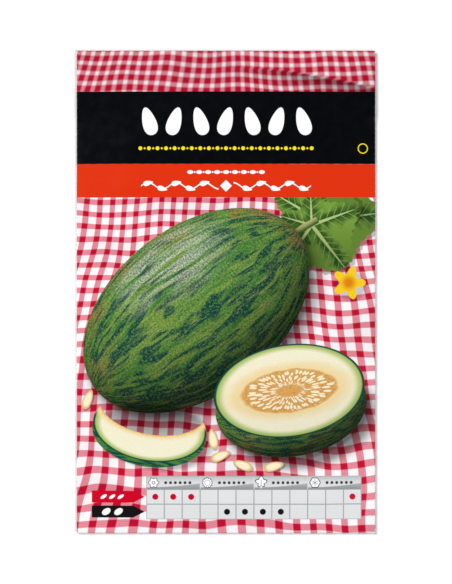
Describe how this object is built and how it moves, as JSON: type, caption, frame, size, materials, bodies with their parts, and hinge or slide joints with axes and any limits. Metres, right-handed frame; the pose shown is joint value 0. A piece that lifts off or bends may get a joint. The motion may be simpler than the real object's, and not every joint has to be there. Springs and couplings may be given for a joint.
{
  "type": "seed packet",
  "caption": "Flat paper seed packet, folded from one printed sheet and gummed shut round loose melon seeds; it lies on its back.",
  "frame": {"origin": "middle of the packet's outline, on the surface that its back lies on", "axes": "+X to the right of the printed front, +Y along its long side towards the top edge, +Z out of the front"},
  "size_m": [0.0804, 0.13, 0.0027],
  "materials": {
    "printed_paper": "coated paper, satin, printed outside and white inside",
    "melon_seed": "smooth dry seed coat, pale straw"
  },
  "bodies": {
    "root": {"packet": "printed_paper", "seed_01": "melon_seed", "seed_02": "melon_seed", "seed_03": "melon_seed", "seed_04": "melon_seed", "seed_05": "melon_seed", "seed_06": "melon_seed", "seed_07": "melon_seed", "seed_08": "melon_seed", "seed_09": "melon_seed", "seed_10": "melon_seed", "seed_11": "melon_seed", "seed_12": "melon_seed", "seed_13": "melon_seed", "seed_14": "melon_seed", "seed_15": "melon_seed", "seed_16": "melon_seed", "seed_17": "melon_seed", "seed_18": "melon_seed", "seed_19": "melon_seed", "seed_20": "melon_seed", "seed_21": "melon_seed", "seed_22": "melon_seed", "seed_23": "melon_seed", "seed_24": "melon_seed", "seed_25": "melon_seed", "seed_26": "melon_seed", "seed_27": "melon_seed", "seed_28": "melon_seed", "seed_29": "melon_seed", "seed_30": "melon_seed", "seed_31": "melon_seed", "seed_32": "melon_seed", "seed_33": "melon_seed", "seed_34": "melon_seed", "seed_35": "melon_seed", "seed_36": "melon_seed", "seed_37": "melon_seed", "seed_38": "melon_seed", "seed_39": "melon_seed", "seed_40": "melon_seed", "seed_41": "melon_seed", "seed_42": "melon_seed", "seed_43": "melon_seed", "seed_44": "melon_seed", "seed_45": "melon_seed", "seed_46": "melon_seed"}
  },
  "joints": []
}
